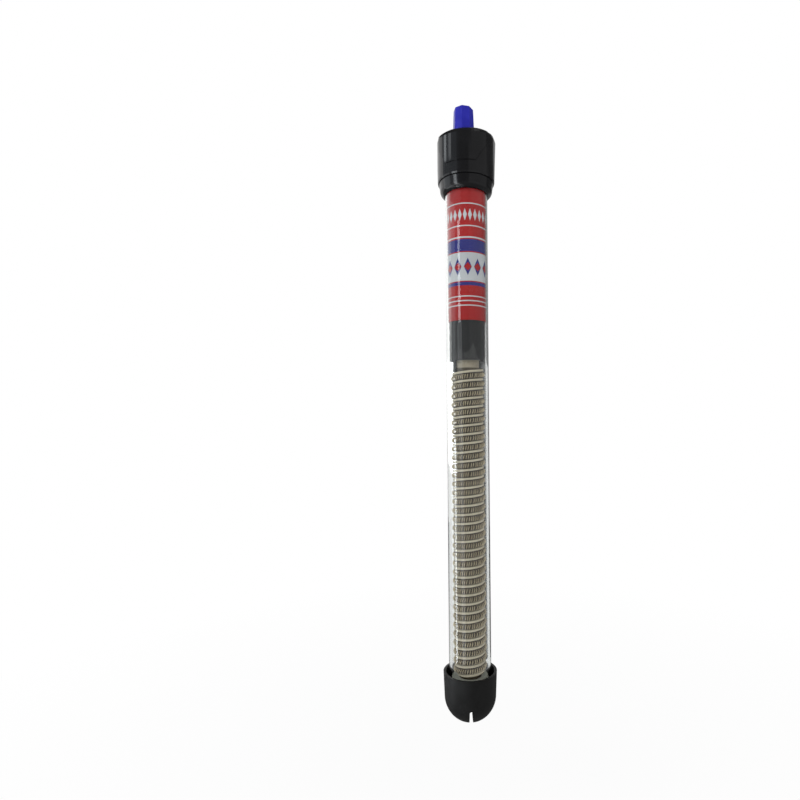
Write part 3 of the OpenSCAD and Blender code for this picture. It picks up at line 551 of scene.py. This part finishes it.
lower_edge = arc(COLLAR_R - COLLAR_TAPER - COLLAR_EDGE, COLLAR_LOW + COLLAR_EDGE, COLLAR_EDGE, -76, 0, 16)
lip = [(COLLAR_R + out, HEAD_LOW - down) for out, down in COLLAR_LIP]
spigot = [(SPIGOT_R, HEAD_LOW - SEAM), (SPIGOT_R, SPIGOT_TOP), (COLLAR_BORE, SPIGOT_TOP)]
profile = lower_edge + lip + spigot + [(COLLAR_BORE, COLLAR_LOW + COLLAR_DISH)]
collar = lathe("head_collar_ring", profile, segments=160)
dress(collar, black_gloss)
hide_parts("head_collar")
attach(collar, "heater")

# ---------------------------------------------------------------- ceramic core

CORE_R, HOLE_R = 6.1, 0.8
CORE_LOW, CORE_TOP = 21.0, 205.0
CORE_EDGE = 0.3  # bevel at both ends

# Ridge and coil share one helix, which is counted in steps of a sixteenth turn from +X
TURN_STEPS = 16
STEP = math.radians(360 / TURN_STEPS)
PITCH = 4.76
FRONT_STEP = 12  # where the ridge first comes to the front
FRONT_Z = 27.2  # height of the ridge's middle there


def at_step(r, step, z):
    """The point at radius r, at an angle given in steps, and at height z."""
    return r * math.cos(step * STEP), r * math.sin(step * STEP), z


def ridge_z(step):
    return FRONT_Z + PITCH * (step - FRONT_STEP) / TURN_STEPS


profile = [
    (HOLE_R, CORE_LOW), (CORE_R - CORE_EDGE, CORE_LOW), (CORE_R, CORE_LOW + CORE_EDGE),
    (CORE_R, CORE_TOP - CORE_EDGE), (CORE_R - CORE_EDGE, CORE_TOP), (HOLE_R, CORE_TOP),
]
core = lathe("core_rod", profile, segments=96)
dress(core, core_ceramic)
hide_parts("ceramic_core")
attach(core, "heater")

RIDGE_R = 8.5
RIDGE_FIRST, RIDGE_LAST = 8, 565  # steps
RUNOUT = 5.0  # steps over which the ridge rises out of the core at each end
RUNOUT_RISE = 0.2  # height of the ridge where it begins
RIDGE_FINE = 4  # parts of each step
RIDGE_ROOT = 0.15  # how deep the ridge stands in the core
RIDGE_SINK = 0.02  # how far its crest stays inside its nominal radius
# Half of the ridge's section: share of its height, and distance from its middle
RIDGE_FLANK = ((0.0, 0.85), (0.08, 0.70), (0.75, 0.60), (0.94, 0.53), (1.0, 0.34))
WANDER_PARTS = 12  # parts from one random value of the wander to the next
WANDER_OUT, WANDER_UP = 0.03, 0.05  # how uneven the ridge is, outwards and in height

rng = random.Random(7)


def make_ridge():
    """The ceramic's raised thread, which runs out into the core at both ends."""
    steps = RIDGE_LAST - RIDGE_FIRST
    total = steps * RIDGE_FINE
    foot = RIDGE_FLANK[0][1]
    section = [(share, -aside) for share, aside in RIDGE_FLANK] + list(reversed(RIDGE_FLANK))
    n = len(section) + 2
    wander = [rng.uniform(-1, 1) for _ in range(total // WANDER_PARTS + 2)]
    verts, faces = [], []
    for i in range(total + 1):
        k = i / RIDGE_FINE
        step = RIDGE_FIRST + k
        grow = min(1.0, k / RUNOUT, (steps - k) / RUNOUT)
        crest = RUNOUT_RISE + (RIDGE_R - CORE_R - RUNOUT_RISE) * math.sin(math.pi / 2 * grow)
        w = i / WANDER_PARTS
        wobble = wander[int(w)] * (1 - w % 1) + wander[int(w) + 1] * (w % 1)
        height = crest - WANDER_OUT + WANDER_OUT * wobble
        ring = [(CORE_R - RIDGE_ROOT, -foot)]
        ring += [(CORE_R + share * height - RIDGE_SINK, aside) for share, aside in section]
        ring += [(CORE_R - RIDGE_ROOT, foot)]
        verts += [at_step(r, step, ridge_z(step) + aside + WANDER_UP * wobble) for r, aside in ring]
    for i in range(total):
        for j in range(n):
            a, b = i * n + j, i * n + (j + 1) % n
            faces.append((a, b, b + n, a + n))
    faces.append(tuple(range(n)))
    faces.append(tuple(total * n + j for j in reversed(range(n))))
    return add_mesh("core_ridge", verts, faces)


ridge = make_ridge()
dress(ridge, core_ceramic)
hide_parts("ceramic_core")
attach(ridge, "heater")

# ---------------------------------------------------------------- heating coil

COIL_R = 1.45  # outer radius of the small spring
WIRE_R = 0.19
WIRE_SIDES = 5
LOOP_POINTS = 12
COIL_SEAT = 0.2  # gap between the core and the spring
COIL_SLACK = 0.02  # how far the wire stays inside the spring's outer radius
COIL_FIRST, COIL_LAST = 18.0, 566.0  # steps
LOOPS_A_TURN = 44
JITTER_ACROSS = 0.035  # how uneven the loops' radius is
JITTER_ALONG = 0.07  # how uneven their places are, in steps


def make_coil():
    """A small spring of resistance wire that lies in the groove, half a pitch below the ridge."""
    steps = COIL_LAST - COIL_FIRST
    centre = CORE_R + COIL_SEAT + COIL_R
    loops = int(steps / TURN_STEPS * LOOPS_A_TURN)
    jitter = [(rng.uniform(-1, 1), rng.uniform(-1, 1)) for _ in range(loops + 2)]
    points = []
    for i in range(loops * LOOP_POINTS + 1):
        loop = i / LOOP_POINTS
        part = loop % 1
        before, after = jitter[int(loop)], jitter[int(loop) + 1]
        across = (before[0] * (1 - part) + after[0] * part) * JITTER_ACROSS
        along = (before[1] * (1 - part) + after[1] * part) * JITTER_ALONG
        step = COIL_FIRST + steps * (i / (loops * LOOP_POINTS)) + along
        rho = COIL_R - WIRE_R - COIL_SLACK + across
        phi = 2 * math.pi * loop
        z = ridge_z(step) - PITCH / 2 + rho * math.sin(phi)
        points.append(Vector(at_step(centre + rho * math.cos(phi), step, z)))
    return sweep("coil_spring", points, WIRE_R, WIRE_SIDES)


coil = make_coil()
dress(coil, coil_wire)
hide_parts("heating_coil")
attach(coil, "heater")

# ---------------------------------------------------------------- floor and world

FLOOR_Z = -0.0352  # the guard cap, slid right off, ends just above it
FLOOR_HALF = 4.0
FLOOR_PAPER = (0.9, 0.9, 0.9)
FLOOR_GLOSS = 0.2  # how bright the floor is in reflections
SHADE_NEAR, SHADE_FAR = 0.06, 0.4  # the object's shadow fades out between these distances from the origin
SHADE_WHITE = 0.92  # share of plain white in the floor nearer than that

SOFT_LEVEL = 0.55  # the world's light on the object
GLOSSY_LEVEL = 0.08  # the world in reflections
GLASS_EDGE_LEVEL = 0.3  # the world where a reflected ray passes through glass


def flat_sheet(name, corners, material):
    """A flat sheet of the studio with four corners, in metres."""
    me = bpy.data.meshes.new(name)
    me.from_pydata(corners, [], [(0, 1, 2, 3)])
    me.materials.append(material)
    return link_object(name, me)


def floor_material():
    """White paper that shows as white to the camera and keeps a little of the object's shadow."""
    s = Surface("floor_paper")
    paper = s.new("ShaderNodeBsdfDiffuse")
    s.put(paper.inputs["Color"], FLOOR_PAPER)
    ray = s.new("ShaderNodeLightPath").outputs
    dim = s.white("ShaderNodeEmission", FLOOR_GLOSS)
    lit = s.blend(ray["Is Glossy Ray"], paper.outputs[0], dim)
    seen = s.math("MAXIMUM", ray["Is Camera Ray"], ray["Is Transmission Ray"])
    away = s.new("ShaderNodeVectorMath", operation="LENGTH")
    s.put(away.inputs[0], s.place)
    share = s.remap(away.outputs["Value"], SHADE_WHITE, 1.0, SHADE_NEAR, SHADE_FAR)
    return s.done(s.blend(s.math("MULTIPLY", seen, share), lit, s.white("ShaderNodeEmission", 1.0)))


def lay_floor():
    corners = ((-1, -1), (1, -1), (1, 1), (-1, 1))
    o = flat_sheet("floor", [(x * FLOOR_HALF, y * FLOOR_HALF, FLOOR_Z) for x, y in corners], floor_material())


def light_world():
    """Soft even light; the camera, and glass in front of it, see the background as white."""
    world = bpy.data.worlds.new("world")
    bpy.context.scene.world = world
    world.use_nodes = True
    t = Tree(world.node_tree)

    def sky(strength):
        return t.white("ShaderNodeBackground", strength)

    ray = t.new("ShaderNodeLightPath").outputs
    bounced = t.math("MAXIMUM", ray["Diffuse Depth"], ray["Glossy Depth"])
    reflected = t.math("GREATER_THAN", ray["Glossy Depth"], 0.5)
    straight = t.math("MULTIPLY", ray["Is Transmission Ray"], t.math("LESS_THAN", bounced, 0.5))
    seen = t.math("MAXIMUM", ray["Is Camera Ray"], straight)
    glossy = t.math("MAXIMUM", ray["Is Glossy Ray"], reflected)
    in_glass = t.math("MULTIPLY", ray["Is Transmission Ray"], reflected)
    gloss = t.blend(in_glass, sky(GLOSSY_LEVEL), sky(GLASS_EDGE_LEVEL))
    out = t.new("ShaderNodeOutputWorld")
    t.put(out.inputs["Surface"], t.blend(seen, t.blend(glossy, sky(SOFT_LEVEL), gloss), sky(1.0)))


lay_floor()
light_world()

# ---------------------------------------------------------------- lamps

WHITE = (1.0, 1.0, 1.0)
COOL = (0.92, 0.97, 1.0)
SKY_BLUE = (0.8, 0.9, 1.0)


def studio_angle(turn):
    """The angle from +X, in radians, of what stands `turn` degrees left of the camera's direction."""
    return math.radians(270 + math.degrees(AZ) - turn)


def area_lamp(name, width, height, radiance, color):
    data = bpy.data.lights.new(name, "AREA")
    data.shape = "RECTANGLE"
    data.size = width
    data.size_y = height
    data.energy = radiance * math.pi * width * height
    data.color = color
    o = link_object(name, data)
    o.visible_camera = False
    return o


def lamp(name, turn, dist, low, high, width, radiance, color, lean=0.0,
         shines=True, lights=True, through=False):
    """An upright soft box that faces the heater's axis and leans by some degrees in its own plane.

    Gloss sees it where it shines, matt surfaces where it lights, and rays through glass where through is set.
    """
    a = studio_angle(turn)
    o = area_lamp(name, width, high - low, radiance, color)
    o.location = (dist * math.cos(a), dist * math.sin(a), (low + high) / 2)
    facing = Vector((-math.cos(a), -math.sin(a), 0.0)).to_track_quat("-Z", "Y").to_matrix()
    o.rotation_euler = (facing @ Matrix.Rotation(math.radians(lean), 3, "Z")).to_euler()
    o.visible_glossy = shines
    o.visible_diffuse = lights
    o.visible_transmission = through


def dark_card(name, turn, dist, low, high, width):
    """A black card that only rays through glass see: it darkens the tube's edge."""
    a = studio_angle(turn)
    middle = Vector((dist * math.cos(a), dist * math.sin(a), 0.0))
    side = Vector((-math.sin(a), math.cos(a), 0.0)) * width / 2
    ends = ((-1, low), (1, low), (1, high), (-1, high))
    corners = [tuple(middle + side * way + Vector((0, 0, z))) for way, z in ends]
    s = Surface(name + "_black")
    o = flat_sheet(name, corners, s.done(s.white("ShaderNodeEmission", 0.0)))
    o.visible_camera = o.visible_diffuse = o.visible_glossy = o.visible_shadow = False


dark_card("edge_card", turn=-167.0, dist=0.15, low=-0.034, high=0.42, width=0.068)

# High over the heater and a little behind it, only for gloss
glow_top = area_lamp("glow_top", 0.9, 0.9, 0.6, WHITE)
glow_top.location = (0.1, 0.1, 1.1)
glow_top.visible_diffuse = glow_top.visible_transmission = False

# Each row: name, turn in degrees, distance, lower and upper end and width in metres, radiance, colour.
# The soft boxes light the object, and gloss doesn't see them.
SOFT_BOXES = (
    ("soft_left", 72.0, 0.9, -0.6, 1.0, 0.5, 1.8, COOL),
    ("soft_front", 6.0, 1.3, 0.3, 1.2, 0.9, 2.5, WHITE),
    ("soft_right", -70.0, 1.2, -0.1, 0.9, 0.6, 0.7, WHITE),
)
# Strips close to the glass, which draw its long highlight
LEANING_STRIPS = (
    ("sheen_near", 32.8, 0.08, 0.002, 0.170, 0.026, 2.0, COOL),
    ("sheen_sleeve", 39.0, 0.08, 0.170, 0.236, 0.034, 1.2, COOL),
    ("sheen_label", 41.0, 0.08, 0.236, 0.308, 0.017, 5.5, COOL),
)
# Strips and broad panels that only show in gloss
GLOSS_PANELS = (
    ("sheen_side", 71.0, 0.08, 0.002, 0.155, 0.016, 9.0, COOL),
    ("sheen_wide", 82.0, 0.08, 0.155, 0.320, 0.05, 0.9, COOL),
    ("sheen_head_a", 77.0, 0.08, 0.334, 0.357, 0.014, 3.4, COOL),
    ("sheen_head_b", 59.0, 0.08, 0.334, 0.357, 0.009, 2.0, COOL),
    ("glow_head", 62.0, 0.085, 0.30, 0.38, 0.11, 0.35, SKY_BLUE),
    ("glow_left", 80.0, 0.30, 0.11, 0.33, 0.34, 0.4, COOL),
    ("glow_left_low", 80.0, 0.30, 0.002, 0.11, 0.34, 1.3, COOL),
    ("glow_right", -53.0, 0.5, 0.0, 0.65, 0.88, 0.22, WHITE),
    ("glow_back_left", 128.0, 0.6, 0.30, 0.85, 0.5, 0.2, WHITE),
    ("glow_back_right", -165.0, 0.6, 0.0, 0.85, 0.5, 0.35, WHITE),
)
STRIP_LEAN = 3.2  # degrees

for row in SOFT_BOXES:
    lamp(*row, shines=False)
for row in LEANING_STRIPS:
    lamp(*row, lean=STRIP_LEAN, lights=False)
for row in GLOSS_PANELS:
    lamp(*row, lights=False)
# A broad panel behind, which shows through the glass too
lamp("rim_left", 140.0, 0.9, -0.6, 1.0, 1.5, 0.85, WHITE, lights=False, through=True)

bpy.context.scene.view_settings.view_transform = "Standard"
